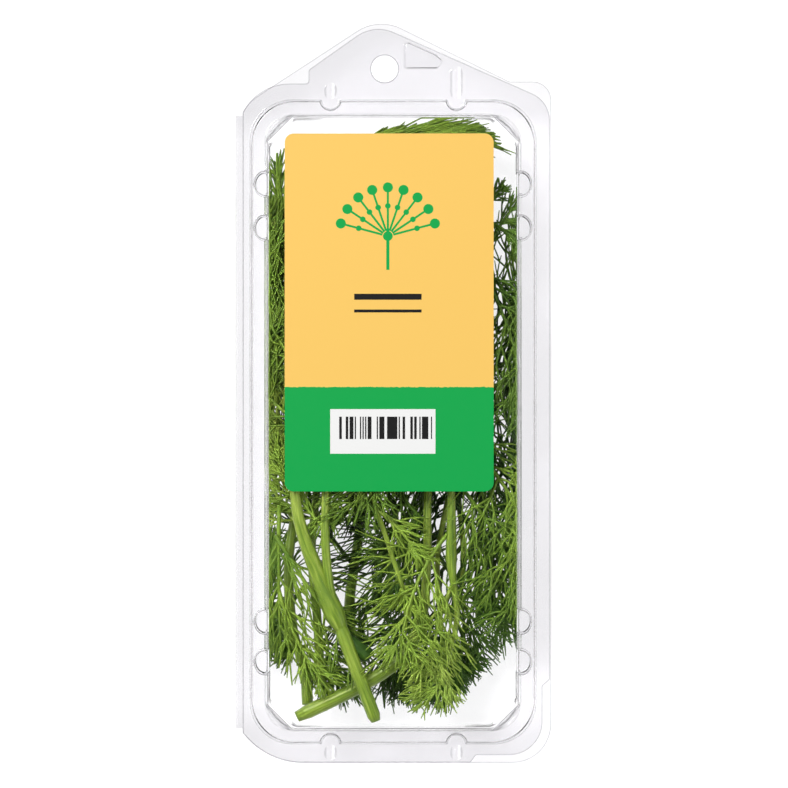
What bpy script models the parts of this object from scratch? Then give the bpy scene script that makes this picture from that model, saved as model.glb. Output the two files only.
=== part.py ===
# A clear hinged herb pack with a bunch of dill in it. It lies on its back, with its front up and its
# hang tab towards +Y. The origin is under the middle of the whole pack, on the surface that it lies on.
# Sizes are in millimetres, and each finished mesh is scaled to metres.
import math
import random

import bmesh
import bpy
from mathutils import Matrix, Vector

METRES_PER_MM = 0.001
WELD = 0.0001

# The two formed halves, which meet at the parting plane
WALL = 0.5
PARTING_Z = 12.5
FLANGE_GAP = 0.3
LID_TOP_Z = 24.5
TERRACE_RISE = 2.0
RIM_DRAFT = 0.5
WALL_DRAFT = 1.0
BROW_DROP = 0.7
BROW_INSET = 0.7

# Plan of the pocket, of its flat face and of the raised rim round it
POCKET_X = (-34.6, 34.3)
POCKET_Y = (-91.0, 75.2)
POCKET_CORNER = 8.0
FACE_CORNER = 7.0
RIM_X = (-38.7, 38.5)
RIM_Y = (-94.6, 79.2)
RIM_CORNER = 11.5
ARC_STEPS = 5

# Half-round lugs at the foot of the pocket's long sides
LUG_RADIUS = 3.2
LUG_RISE = 3.3
LUG_PLACES = (-72.4, -61.5, 44.7, 56.5)
LUG_SINK = 0.8

# Half-round ribs across the flange's short sides
RIB_RADIUS = 1.7
RIB_PLACES = (-17.0, 17.0)
RIB_LENGTH = 4.6
RIB_REACH = 2.0
ROUND_SIDES = 8

# Flange outlines: each corner, and the radius that rounds it
HINGE_SIDE_X = -40.7
TRAY_OUTLINE = (
    (HINGE_SIDE_X, -91.6, 0.0),
    (-33.8, -99.8, 20.5),
    (42.6, -99.8, 10.5),
    (42.6, 84.2, 5.0),
    (31.3, 84.2, 1.2),
    (-4.1, 101.6, 12.0),
    (-39.0, 78.8, 12.5),
    (HINGE_SIDE_X, 75.8, 0.0),
)
LID_OUTLINE = (
    (HINGE_SIDE_X, -91.6, 0.0),
    (-33.8, -99.6, 20.0),
    (20.8, -99.6, 0.8),
    (22.2, -97.6, 0.8),
    (40.2, -97.6, 9.0),
    (40.2, -79.0, 0.8),
    (42.2, -77.2, 0.8),
    (42.2, 78.8, 8.0),
    (-5.2, 99.8, 10.0),
    (-22.9, 87.3, 0.8),
    (-22.9, 83.6, 0.8),
    (-36.4, 83.6, 14.0),
    (HINGE_SIDE_X, 75.8, 0.0),
)
HANG_HOLE = (-2.4, 87.6)
HANG_HOLE_RADIUS = 3.65
HANG_HOLE_SIDES = 16

# The fold that joins the halves along the pack's left side, and the strip that reaches it
FOLD_X = -41.85
FOLD_RADIUS = 0.75
FOLD_Y = (-90.0, 74.4)
FOLD_SINK = 0.3

# The label on the front
LABEL_X = (-29.4, 27.4)
LABEL_Y = (-26.5, 70.0)
LABEL_CORNER = 2.4
LABEL_GAP = 0.1
LABEL_THICKNESS = 0.2

# The leaves keep out of the pocket's corners: the most that the distances from its middle may add up to
POCKET_MIDDLE_Y = -7.9
CORNER_REACH = 104.5

# A dill leaf: a bent midrib, pairs of side ribs, and a thread on each rib
LEAF_LENGTH = 52.0
LEAF_STEPS = 2
LEAF_ANGLE = 44.0
LEAF_BEND = 30.0
MIDRIB_RADII = (0.55, 0.2)
RIB_PAIRS = 3
BARE_STALK = 0.26
RIB_SHARE = 0.46
RIB_TAPER = 0.6
RIB_ANGLE = 46.0
SIDE_RIB_RADIUS = 0.44
THREAD_SHARE = 0.62
THREAD_ANGLE = 36.0
THREAD_RADIUS = 0.38
THREAD_PLACES = (0.3, 0.45)
NEEDLE_ROOT = 0.9
LIFT = 0.3
VARIED = (0.85, 1.15)

# A stem's points for each stretch of its route, and how many extra sides rounds it or a midrib
STEM_STEPS = 2
STEM_ROUNDING = 1
MIDRIB_ROUNDING = 0
BRANCH_TAPER = 0.5
SHEATH_LENGTH = 0.09

# Each sprig: its stem's route from the cut end to the tip, the stem's radius at both ends, the box that
# its leaves keep to, where along the stem they grow, and the side of the first one. A sheath is where a
# leaf's foot wraps the stem, and how far it swells it. A branch is a second stem from the same node.
SPRIGS = {
    "sprig_front_left": {
        "layer": "front",
        "route": (
            (-5.3, -86.0, 20.2), (-8.3, -78.2, 20.2), (-13.6, -64.1, 20.0), (-17.4, -52.0, 20.0),
            (-18.6, -38.0, 20.2), (-18.4, -22.0, 20.2), (-21.5, 4.0, 20.2), (-18.0, 32.0, 20.0),
            (-23.0, 58.0, 20.0),
        ),
        "radii": (2.0, 0.6),
        "room": ((-31.6, -74.0, 18.2), (-11.0, 71.0, 22.6)),
        "leaves": (0.22, 0.42, 0.62, 0.84),
        "sheath": (0.20, 0.6),
        "branch": ((-13.6, -64.1, 20.0), (-19.8, -49.5, 20.0), (-25.4, -33.5, 20.2), (-27.6, -14.0, 20.4)),
        "side": 1,
        "seed": 12,
    },
    "sprig_front_middle": {
        "layer": "front",
        "route": (
            (-7.0, 46.0, 20.4), (-4.6, 24.0, 20.4), (-6.6, 0.0, 20.2), (-5.8, -25.0, 20.4),
            (-1.5, -40.0, 20.4), (2.4, -52.0, 20.4),
        ),
        "radii": (1.0, 0.6),
        "room": ((-9.6, -66.0, 18.2), (5.2, 71.0, 22.6)),
        "leaves": (0.04, 0.36, 0.66, 0.90),
        "side": -1,
        "seed": 22,
    },
    "sprig_front_right": {
        "layer": "front",
        "route": (
            (19.0, 44.0, 20.2), (16.5, 20.0, 20.4), (15.0, -4.0, 20.2), (15.5, -26.0, 20.2),
            (15.6, -46.5, 20.2), (17.0, -60.0, 20.0), (14.0, -74.0, 20.0),
        ),
        "radii": (1.35, 0.6),
        "room": ((6.6, -86.0, 18.2), (31.6, 71.0, 22.6)),
        "leaves": (0.03, 0.30, 0.56, 0.80),
        "sheath": (0.74, 0.5),
        "side": 1,
        "seed": 33,
    },
    "sprig_crossing": {
        "layer": "front",
        "route": (
            (-25.0, -85.9, 14.8), (-8.0, -78.2, 14.8), (2.8, -70.4, 14.8), (7.6, -60.0, 14.8),
            (9.0, -46.0, 14.8), (9.2, -28.0, 14.6), (10.5, -2.0, 14.6), (7.0, 26.0, 14.8),
            (1.0, 50.0, 14.8), (3.6, 64.0, 14.8), (15.0, 69.6, 15.0), (25.0, 68.6, 15.0),
        ),
        "radii": (1.7, 0.6),
        "room": ((-7.2, -87.0, 12.8), (32.6, 72.6, 17.0)),
        "leaves": (0.22, 0.36, 0.52, 0.68, 0.84),
        "side": -1,
        "seed": 43,
    },
    "sprig_middle_left": {
        "layer": "back",
        "route": (
            (-19.6, -78.4, 14.8), (-20.4, -62.0, 14.8), (-22.0, -42.0, 14.6), (-20.0, -16.0, 14.8),
            (-21.5, 14.0, 14.6), (-19.0, 40.0, 14.8), (-20.0, 58.0, 14.8),
        ),
        "radii": (1.25, 0.6),
        "room": ((-32.6, -74.0, 12.8), (-8.7, 72.0, 17.0)),
        "leaves": (0.16, 0.40, 0.64, 0.88),
        "side": -1,
        "seed": 51,
    },
    "sprig_rear_left": {
        "layer": "back",
        "route": (
            (-23.2, -84.0, 9.4), (-24.0, -73.9, 9.4), (-27.2, -64.0, 9.4), (-28.2, -44.0, 9.4),
            (-24.0, -16.0, 9.4), (-23.0, 14.0, 9.4), (-17.0, 42.0, 9.4), (-14.0, 60.0, 9.4),
        ),
        "radii": (1.5, 0.6),
        "room": ((-32.6, -86.0, 7.4), (-3.0, 72.6, 11.6)),
        "leaves": (0.14, 0.38, 0.62, 0.86),
        "side": 1,
        "seed": 61,
    },
    "sprig_rear_right": {
        "layer": "back",
        "route": (
            (16.0, 58.0, 9.4), (20.0, 34.0, 9.4), (15.0, 8.0, 9.4), (16.0, -20.0, 9.4),
            (12.0, -44.0, 9.4), (13.0, -66.0, 9.4),
        ),
        "radii": (1.3, 0.6),
        "room": ((-1.6, -87.0, 7.4), (32.6, 72.6, 11.6)),
        "leaves": (0.03, 0.30, 0.56, 0.82),
        "side": -1,
        "seed": 71,
    },
    "sprig_back_left": {
        "layer": "back",
        "route": (
            (-10.0, -80.0, 3.8), (-12.0, -58.0, 4.0), (-9.0, -32.0, 4.0), (-12.0, -4.0, 3.8),
            (-10.0, 26.0, 4.0), (-14.0, 52.0, 4.0),
        ),
        "radii": (1.6, 0.6),
        "room": ((-31.6, -86.0, 1.4), (2.0, 71.0, 6.2)),
        "leaves": (0.12, 0.38, 0.64, 0.90),
        "side": -1,
        "seed": 87,
    },
    "sprig_back_right": {
        "layer": "back",
        "route": (
            (24.0, 62.0, 4.0), (19.0, 40.0, 4.0), (21.0, 12.0, 3.8), (17.0, -16.0, 4.0),
            (19.0, -44.0, 4.0), (17.0, -64.0, 4.0),
        ),
        "radii": (1.3, 0.6),
        "room": ((3.4, -87.0, 1.4), (31.6, 71.0, 6.2)),
        "leaves": (0.03, 0.30, 0.56, 0.82),
        "side": 1,
        "seed": 91,
    },
}


def clear_scene():
    for obj in list(bpy.data.objects):
        bpy.data.objects.remove(obj, do_unlink=True)


def new_collection(name):
    collection = bpy.data.collections.new(name)
    bpy.context.scene.collection.children.link(collection)
    return collection


def plain_material(name, colour, roughness, alpha=1.0):
    material = bpy.data.materials.new(name)
    material.use_nodes = True
    shader = material.node_tree.nodes["Principled BSDF"]
    shader.inputs["Base Color"].default_value = (*colour, 1.0)
    shader.inputs["Roughness"].default_value = roughness
    shader.inputs["Metallic"].default_value = 0.0
    shader.inputs["Alpha"].default_value = alpha
    return material


def object_from(name, bm, collection):
    """A new object from a bmesh, which is then freed."""
    mesh = bpy.data.meshes.new(name)
    bm.to_mesh(mesh)
    bm.free()
    obj = bpy.data.objects.new(name, mesh)
    collection.objects.link(obj)
    return obj


def evaluated_mesh(obj):
    graph = bpy.context.evaluated_depsgraph_get()
    return bpy.data.meshes.new_from_object(obj.evaluated_get(graph), depsgraph=graph)


def apply_modifiers(obj):
    mesh = evaluated_mesh(obj)
    obj.modifiers.clear()
    obj.data = mesh


def combine(obj, others, operation):
    """Joins a collection's objects to one object, or cuts them from it, and then removes them."""
    boolean = obj.modifiers.new(operation, "BOOLEAN")
    boolean.operation = operation
    boolean.operand_type = "COLLECTION"
    boolean.collection = others
    apply_modifiers(obj)
    for other in list(others.objects):
        bpy.data.objects.remove(other, do_unlink=True)


def finish(obj, material):
    obj.data.transform(Matrix.Scale(METRES_PER_MM, 4))
    obj.data.materials.clear()
    obj.data.materials.append(material)
    return obj


def rounding(before, corner, after, radius, steps=ARC_STEPS):
    """The points of the arc that rounds one corner of an outline."""
    to_before = (before - corner).normalized()
    to_after = (after - corner).normalized()
    half_angle = to_before.angle(to_after) / 2
    centre = corner + (to_before + to_after).normalized() * (radius / math.sin(half_angle))
    first = corner + to_before * (radius / math.tan(half_angle)) - centre
    last = corner + to_after * (radius / math.tan(half_angle)) - centre
    sweep = math.atan2(first.x * last.y - first.y * last.x, first.dot(last))
    return [centre + Matrix.Rotation(sweep * step / steps, 2) @ first for step in range(steps + 1)]


def rounded_outline(corners):
    """An outline with each corner rounded by its own radius, and by fewer points where that is small."""
    places = [Vector((x, y)) for x, y, _ in corners]
    points = []
    for place, (_, _, radius) in enumerate(corners):
        if radius == 0:
            points.append(places[place])
            continue
        after = places[(place + 1) % len(places)]
        steps = ARC_STEPS if radius > RIB_RADIUS else 2
        points += rounding(places[place - 1], places[place], after, radius, steps)
    return points


def rectangle(x_range, y_range, corner, inset=0.0, cut=False):
    """A rectangle drawn in by an inset, with corners that are rounded, or cut straight across."""
    low_x, high_x = x_range[0] + inset, x_range[1] - inset
    low_y, high_y = y_range[0] + inset, y_range[1] - inset
    places = ((low_x, low_y), (high_x, low_y), (high_x, high_y), (low_x, high_y))
    corners = [Vector(place) for place in places]
    points = []
    for place, here in enumerate(corners):
        arc = rounding(corners[place - 1], here, corners[(place + 1) % 4], corner)
        if cut:
            arc = [arc[0].lerp(arc[-1], step / ARC_STEPS) for step in range(ARC_STEPS + 1)]
        points += arc
    return points


def edge_loop(bm, points, height):
    verts = [bm.verts.new((point.x, point.y, height)) for point in points]
    return [bm.edges.new((verts[place - 1], vert)) for place, vert in enumerate(verts)]


def formed_half(name, outline, side, flange_z, face_z, collection):
    """A flange with a hang hole, a raised rim and a pocket. The surface is drawn on the outside, and side
    is the way that it is formed: 1 for up and -1 for down."""
    bm = bmesh.new()
    terrace_z = flange_z + side * TERRACE_RISE
    brow_z = face_z - side * BROW_DROP
    reach = Vector((HANG_HOLE_RADIUS, 0))
    turns = [Matrix.Rotation(math.tau * step / HANG_HOLE_SIDES, 2) for step in range(HANG_HOLE_SIDES)]
    hole = [Vector(HANG_HOLE) + turn @ reach for turn in turns]
    rim_foot = edge_loop(bm, rectangle(RIM_X, RIM_Y, RIM_CORNER), flange_z)
    flange_edges = [
        *edge_loop(bm, rounded_outline(outline), flange_z), *edge_loop(bm, hole, flange_z), *rim_foot,
    ]
    bmesh.ops.triangle_fill(bm, edges=flange_edges, use_beauty=True)
    rim_top = edge_loop(bm, rectangle(RIM_X, RIM_Y, RIM_CORNER, RIM_DRAFT), terrace_z)
    foot = edge_loop(bm, rectangle(POCKET_X, POCKET_Y, POCKET_CORNER), terrace_z)
    brow = edge_loop(bm, rectangle(POCKET_X, POCKET_Y, FACE_CORNER, WALL_DRAFT, cut=True), brow_z)
    face_inset = WALL_DRAFT + BROW_INSET
    edge = edge_loop(bm, rectangle(POCKET_X, POCKET_Y, FACE_CORNER, face_inset, cut=True), face_z)
    for lower, upper in ((rim_foot, rim_top), (foot, brow), (brow, edge)):
        bmesh.ops.bridge_loops(bm, edges=[*lower, *upper])
    bmesh.ops.triangle_fill(bm, edges=[*rim_top, *foot], use_beauty=True)
    bmesh.ops.contextual_create(bm, geom=edge)
    bmesh.ops.recalc_face_normals(bm, faces=bm.faces)
    face = max(bm.faces, key=lambda each: side * each.calc_center_median().z)
    if face.normal.z * side < 0:
        bmesh.ops.reverse_faces(bm, faces=bm.faces)
    shell = object_from(name, bm, collection)
    wall = shell.modifiers.new("wall", "SOLIDIFY")
    wall.thickness = WALL
    wall.offset = -1
    wall.use_even_offset = True
    apply_modifiers(shell)
    return shell


def half_round(name, centre, axis, outward, radius, length, collection, sink=0.0):
    """Half of a round bar, on the outward side of its axis, which reaches a little past it if it sinks."""
    turn = Vector(axis).to_track_quat("Z", "Y").to_matrix().to_4x4()
    bm = bmesh.new()
    bmesh.ops.create_cone(
        bm, cap_ends=True, segments=ROUND_SIDES, radius1=radius, radius2=radius, depth=length,
        matrix=Matrix.Translation(centre) @ turn,
    )
    outward = Vector(outward)
    cut = bmesh.ops.bisect_plane(
        bm, geom=[*bm.verts, *bm.edges, *bm.faces], dist=WELD, clear_inner=True,
        plane_co=Vector(centre) - outward * sink, plane_no=outward,
    )
    bmesh.ops.holes_fill(bm, edges=[each for each in cut["geom_cut"] if isinstance(each, bmesh.types.BMEdge)])
    bmesh.ops.recalc_face_normals(bm, faces=bm.faces)
    return object_from(name, bm, collection)


def add_lugs_and_ribs(shell, side, flange_z, extras):
    """Hollow lugs along the pocket's long sides and hollow ribs across the flange's short sides."""
    terrace_z = flange_z + side * TERRACE_RISE
    for hollow, operation in ((0.0, "UNION"), (WALL, "DIFFERENCE")):
        below = 2 * WALL if hollow else WALL / 2
        height = LUG_RISE + below - hollow
        for x, outward in zip(POCKET_X, (-1, 1)):
            for y in LUG_PLACES:
                centre = (x, y, terrace_z + side * (height / 2 - below))
                half_round(
                    "lug", centre, (0, 0, 1), (outward, 0, 0), LUG_RADIUS - hollow, height, extras, LUG_SINK,
                )
        for y in (RIM_Y[0] - RIB_REACH, RIM_Y[1] + RIB_REACH):
            for x in RIB_PLACES:
                centre = (x, y, flange_z - side * below)
                radius = RIB_RADIUS - hollow
                length = RIB_LENGTH - 2 * hollow
                half_round("rib", centre, (0, 1, 0), (0, 0, side), radius, length, extras)
        combine(shell, extras, operation)


def make_tray(parts, extras):
    flange_z = PARTING_Z - FLANGE_GAP / 2 - WALL
    tray = formed_half("tray", TRAY_OUTLINE, -1, flange_z, 0.0, parts)
    add_lugs_and_ribs(tray, -1, flange_z, extras)
    middle = (FOLD_X, sum(FOLD_Y) / 2, PARTING_Z)
    length = FOLD_Y[1] - FOLD_Y[0]
    fold = bmesh.new()
    bmesh.ops.create_cone(
        fold, cap_ends=True, segments=ROUND_SIDES, radius1=FOLD_RADIUS, radius2=FOLD_RADIUS, depth=length,
        matrix=Matrix.Translation(middle) @ Matrix.Rotation(math.pi / 2, 4, "X"),
    )
    object_from("fold", fold, extras)
    strip = bmesh.new()
    width = HINGE_SIDE_X + FOLD_SINK - FOLD_X
    place = Matrix.Translation((FOLD_X + width / 2, middle[1], flange_z + WALL / 2))
    bmesh.ops.create_cube(strip, size=1.0, matrix=place @ Matrix.Diagonal((width, length, WALL / 2, 1.0)))
    object_from("fold_strip", strip, extras)
    combine(tray, extras, "UNION")
    return tray


def make_lid(parts, extras):
    flange_z = PARTING_Z + FLANGE_GAP / 2 + WALL
    lid = formed_half("lid", LID_OUTLINE, 1, flange_z, LID_TOP_Z, parts)
    add_lugs_and_ribs(lid, 1, flange_z, extras)
    return lid


def make_label(parts):
    bm = bmesh.new()
    low_z = LID_TOP_Z + LABEL_GAP
    edge_loop(bm, rectangle(LABEL_X, LABEL_Y, LABEL_CORNER), low_z)
    base = bmesh.ops.contextual_create(bm, geom=bm.edges)
    lifted = bmesh.ops.extrude_face_region(bm, geom=base["faces"], use_keep_orig=True)
    top = [each for each in lifted["geom"] if isinstance(each, bmesh.types.BMVert)]
    bmesh.ops.translate(bm, verts=top, vec=(0, 0, LABEL_THICKNESS))
    bmesh.ops.recalc_face_normals(bm, faces=bm.faces)
    return object_from("label", bm, parts)


def smooth_route(points):
    """The points of a smooth curve through the points of a route."""
    points = [Vector(point) for point in points]
    ends = [points[0] * 2 - points[1], *points, points[-1] * 2 - points[-2]]
    route = []
    for before, start, end, after in zip(ends, ends[1:], ends[2:], ends[3:]):
        for step in range(STEM_STEPS):
            t = step / STEM_STEPS
            straight = 2 * start + (end - before) * t
            bent = (2 * before - 5 * start + 4 * end - after) * t * t
            turned = (3 * start - before - 3 * end + after) * t * t * t
            route.append((straight + bent + turned) / 2)
    return [*route, points[-1]]


def place_on(route, share):
    """A point at a share of a route's length, and the way that the route runs there."""
    lengths = [(after - before).length for before, after in zip(route, route[1:])]
    left = share * sum(lengths)
    for place, length in enumerate(lengths):
        if left <= length or place == len(lengths) - 1:
            heading = (route[place + 1] - route[place]).normalized()
            return route[place] + heading * min(left, length), heading
        left -= length


def tube(name, route, radii, resolution, collection):
    """A closed tube along a route, with one radius for each of its points."""
    curve = bpy.data.curves.new(name, "CURVE")
    curve.dimensions = "3D"
    curve.bevel_depth = 1.0
    curve.bevel_resolution = resolution
    curve.use_fill_caps = True
    spline = curve.splines.new("POLY")
    spline.points.add(len(route) - 1)
    for spot, place, radius in zip(spline.points, route, radii):
        spot.co = (*place, 1.0)
        spot.radius = radius
    guide = bpy.data.objects.new(name, curve)
    collection.objects.link(guide)
    bm = bmesh.new()
    bm.from_mesh(evaluated_mesh(guide))
    bpy.data.objects.remove(guide, do_unlink=True)
    bmesh.ops.remove_doubles(bm, verts=bm.verts, dist=WELD)
    bmesh.ops.recalc_face_normals(bm, faces=bm.faces)
    return object_from(name, bm, collection)


def needle(start, end, radius, pieces):
    """A three-sided needle, pointed at its tip and at the root that its parent hides."""
    run = end - start
    bm = bmesh.new()
    bmesh.ops.create_cone(
        bm, cap_ends=True, segments=3, radius1=radius, radius2=0.0, depth=run.length - NEEDLE_ROOT,
    )
    bmesh.ops.remove_doubles(bm, verts=bm.verts, dist=WELD)
    base = min(bm.faces, key=lambda face: face.calc_center_median().z)
    root = bmesh.ops.poke(bm, faces=[base])["verts"][0]
    root.co.z -= NEEDLE_ROOT
    turn = run.to_track_quat("Z", "Y").to_matrix().to_4x4()
    middle = start + run.normalized() * (run.length + NEEDLE_ROOT) / 2
    bmesh.ops.transform(bm, matrix=Matrix.Translation(middle) @ turn, verts=bm.verts)
    object_from("needle", bm, pieces)


def turned(heading, degrees, lift=0.0):
    """A heading turned in the plane that the pack lies in, and lifted a little out of it."""
    flat = Matrix.Rotation(math.radians(degrees), 3, "Z") @ heading
    return (flat + Vector((0, 0, lift))).normalized()


def kept_in(point, room):
    """The nearest point that a box and the pocket's corners leave free."""
    low, high = room
    kept = Vector([min(max(value, least), most) for value, least, most in zip(point, low, high)])
    excess = abs(kept.x) + abs(kept.y - POCKET_MIDDLE_Y) - CORNER_REACH
    if excess > 0:
        kept.x -= math.copysign(excess, kept.x)
    return kept


def grow_leaf(start, heading, bend, length, room, chance, pieces):
    """A bent midrib with side ribs in pairs, and a thread on each of them."""
    midrib = [start]
    for _ in range(LEAF_STEPS):
        heading = turned(heading, bend / LEAF_STEPS, chance.uniform(-LIFT, LIFT) / 2)
        midrib.append(kept_in(midrib[-1] + heading * (length / LEAF_STEPS), room))
    thick, thin = MIDRIB_RADII
    radii = [thick + (thin - thick) * place / LEAF_STEPS for place in range(LEAF_STEPS + 1)]
    tube("midrib", midrib, radii, MIDRIB_ROUNDING, pieces)
    for pair in range(RIB_PAIRS):
        share = BARE_STALK + (1 - BARE_STALK) * pair / RIB_PAIRS
        root, along = place_on(midrib, share)
        reach = length * RIB_SHARE * (1 - RIB_TAPER * share)
        for side in (-1, 1):
            way = turned(along, side * RIB_ANGLE * chance.uniform(*VARIED), chance.uniform(-LIFT, LIFT))
            tip = kept_in(root + way * reach * chance.uniform(*VARIED), room)
            needle(root, tip, SIDE_RIB_RADIUS, pieces)
            branch = root.lerp(tip, chance.uniform(*THREAD_PLACES))
            way = turned(way, -side * THREAD_ANGLE * chance.uniform(*VARIED), chance.uniform(-LIFT, LIFT))
            needle(branch, kept_in(branch + way * reach * THREAD_SHARE, room), THREAD_RADIUS, pieces)


def make_sprig(name, plan, parts, pieces):
    """A stem and its leaves, joined in one body."""
    chance = random.Random(plan["seed"])
    route = smooth_route(plan["route"])
    thick, thin = plan["radii"]
    node, swelling = plan.get("sheath", (0.0, 0.0))
    radii = []
    for place in range(len(route)):
        share = place / (len(route) - 1)
        sheath = max(0.0, 1 - abs(share - node - SHEATH_LENGTH) / SHEATH_LENGTH) * swelling
        radii.append(thick + (thin - thick) * share + sheath)
    sprig = tube(name, route, radii, STEM_ROUNDING, parts)
    if "branch" in plan:
        branch = smooth_route(plan["branch"])
        radii = [thick * (1 - BRANCH_TAPER * place / len(branch)) for place in range(len(branch))]
        tube("branch", branch, radii, STEM_ROUNDING, pieces)
    side = plan["side"]
    for share in plan["leaves"]:
        start, along = place_on(route, share)
        heading = turned(along, side * LEAF_ANGLE)
        length = LEAF_LENGTH * chance.uniform(*VARIED)
        grow_leaf(start, heading, -side * LEAF_BEND, length, plan["room"], chance, pieces)
        side = -side
    combine(sprig, pieces, "UNION")
    return sprig


def main():
    clear_scene()
    parts = new_collection("dill_pack")
    extras = new_collection("cutters")
    clear_plastic = plain_material("clear_plastic", (0.86, 0.87, 0.9), 0.08, 0.3)
    label_paper = plain_material("label_paper", (0.97, 0.6, 0.15), 0.35)
    dill = {
        "front": plain_material("dill_front", (0.2, 0.36, 0.05), 0.5),
        "back": plain_material("dill_back", (0.06, 0.17, 0.03), 0.5),
    }
    finish(make_tray(parts, extras), clear_plastic)
    finish(make_lid(parts, extras), clear_plastic)
    finish(make_label(parts), label_paper)
    for name, plan in SPRIGS.items():
        finish(make_sprig(name, plan, parts, extras), dill[plan["layer"]])


main()
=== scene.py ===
import math
import random

import bmesh
import bpy
from mathutils import Matrix, Vector
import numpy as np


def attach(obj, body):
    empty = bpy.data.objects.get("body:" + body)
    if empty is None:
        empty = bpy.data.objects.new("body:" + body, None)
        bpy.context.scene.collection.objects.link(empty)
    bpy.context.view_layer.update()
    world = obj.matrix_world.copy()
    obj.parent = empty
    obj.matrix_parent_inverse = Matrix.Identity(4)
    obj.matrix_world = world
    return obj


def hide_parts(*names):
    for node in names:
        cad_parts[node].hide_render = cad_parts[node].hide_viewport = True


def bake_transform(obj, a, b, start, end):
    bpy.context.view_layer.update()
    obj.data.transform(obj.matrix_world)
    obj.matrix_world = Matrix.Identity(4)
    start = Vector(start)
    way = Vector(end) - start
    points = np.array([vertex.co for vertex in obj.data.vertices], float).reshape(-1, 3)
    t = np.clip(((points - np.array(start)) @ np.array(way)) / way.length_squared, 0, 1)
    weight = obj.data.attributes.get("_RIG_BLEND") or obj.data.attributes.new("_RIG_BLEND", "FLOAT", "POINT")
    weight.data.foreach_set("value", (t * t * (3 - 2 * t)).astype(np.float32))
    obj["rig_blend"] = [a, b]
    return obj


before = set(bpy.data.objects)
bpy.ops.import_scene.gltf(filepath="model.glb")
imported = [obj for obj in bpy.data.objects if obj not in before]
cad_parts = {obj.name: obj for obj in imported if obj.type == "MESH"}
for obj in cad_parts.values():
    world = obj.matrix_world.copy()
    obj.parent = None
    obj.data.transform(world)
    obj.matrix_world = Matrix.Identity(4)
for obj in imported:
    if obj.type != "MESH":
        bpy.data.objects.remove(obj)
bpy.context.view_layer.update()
mm = 0.001
weld = 0.0005       # points nearer than this, in mm, become one
partingZ = 12.5     # the height where the two halves meet
middleY = -7.9      # the pocket's middle, along its length


# Shader helpers

class Signal:  # a node's output that takes + - * / and the like, each as a Math node
    def __init__(self, nodes, socket):
        self.nodes = nodes
        self.socket = socket

    def __add__(self, other):
        return self.nodes.math("ADD", self, other)

    def __sub__(self, other):
        return self.nodes.math("SUBTRACT", self, other)

    def __rsub__(self, other):
        return self.nodes.math("SUBTRACT", other, self)

    def __mul__(self, other):
        return self.nodes.math("MULTIPLY", self, other)

    def __truediv__(self, other):
        return self.nodes.math("DIVIDE", self, other)

    def __lt__(self, other):
        return self.nodes.math("LESS_THAN", self, other)

    def __gt__(self, other):
        return self.nodes.math("GREATER_THAN", self, other)

    def __abs__(self):
        return self.nodes.math("ABSOLUTE", self)

    __radd__ = __add__
    __rmul__ = __mul__


class Nodes:  # a node tree, with one way to add any node
    def __init__(self, tree):
        self.tree = tree

    def fill(self, node, inputs):
        for key, value in inputs.items():
            socket = node.inputs[key]
            if isinstance(value, Signal):
                self.tree.links.new(value.socket, socket)
            elif isinstance(value, tuple) and socket.type == "RGBA":
                socket.default_value = (*value[:3], 1.0)
            else:
                socket.default_value = value

    def add(self, kind, settings=None, inputs=None, output=0):
        node = self.tree.nodes.new("ShaderNode" + kind)
        for key, value in (settings or {}).items():
            if key == "stops":
                ramp = node.color_ramp
                while len(ramp.elements) < len(value):
                    ramp.elements.new(1.0)
                for stop, (position, colour) in zip(ramp.elements, value):
                    stop.position = position
                    stop.color = (*colour, 1.0)
            else:
                setattr(node, key, value)
        self.fill(node, inputs or {})
        return Signal(self, node.outputs[output])

    def math(self, operation, first, second=0.0):
        return self.add("Math", {"operation": operation}, {0: first, 1: second})

    def mix(self, share, first, second):
        return self.add(
            "Mix", {"data_type": "RGBA"}, {"Factor": share, 6: first, 7: second}, output=2
        )

    def split(self, place):  # the x, y and z of a place
        node = self.add("SeparateXYZ", {}, {0: place}).socket.node
        return [Signal(self, output) for output in node.outputs]

    def between(self, value, limits):  # 0 up to the first limit, and 1 from the second one on
        return self.add("MapRange", {}, {0: value, 1: limits[0], 2: limits[1]})


class Finish(Nodes):  # a material's nodes, round its Principled shader
    def __init__(self, name, colour, roughness, **more):
        self.material = bpy.data.materials.new(name)
        self.material.use_nodes = True
        super().__init__(self.material.node_tree)
        self.shader = self.tree.nodes["Principled BSDF"]
        self.fill(self.shader, {"Base Color": colour, "Roughness": roughness, **more})

    def noise(self, scale, detail=2.0, place=None):
        place = place or self.places()
        return self.add("TexNoise", {}, {"Vector": place, "Scale": scale, "Detail": detail})

    def places(self):  # object coordinates, in millimetres
        place = self.add("TexCoord", output="Object")
        return self.add("VectorMath", {"operation": "SCALE"}, {0: place, "Scale": 1 / mm})

    def bump(self, height, strength, distance):
        inputs = {"Height": height, "Strength": strength, "Distance": distance * mm}
        self.fill(self.shader, {"Normal": self.add("Bump", {}, inputs)})


# Mesh helpers

def placed(name, data):  # a new object with this data, in the scene
    made = bpy.data.objects.new(name, data)
    bpy.context.scene.collection.objects.link(made)
    return made


def meshOf(piece):  # its mesh with its modifiers applied, or its curve as tubes
    graph = bpy.context.evaluated_depsgraph_get()
    return bpy.data.meshes.new_from_object(piece.evaluated_get(graph), depsgraph=graph)


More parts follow.
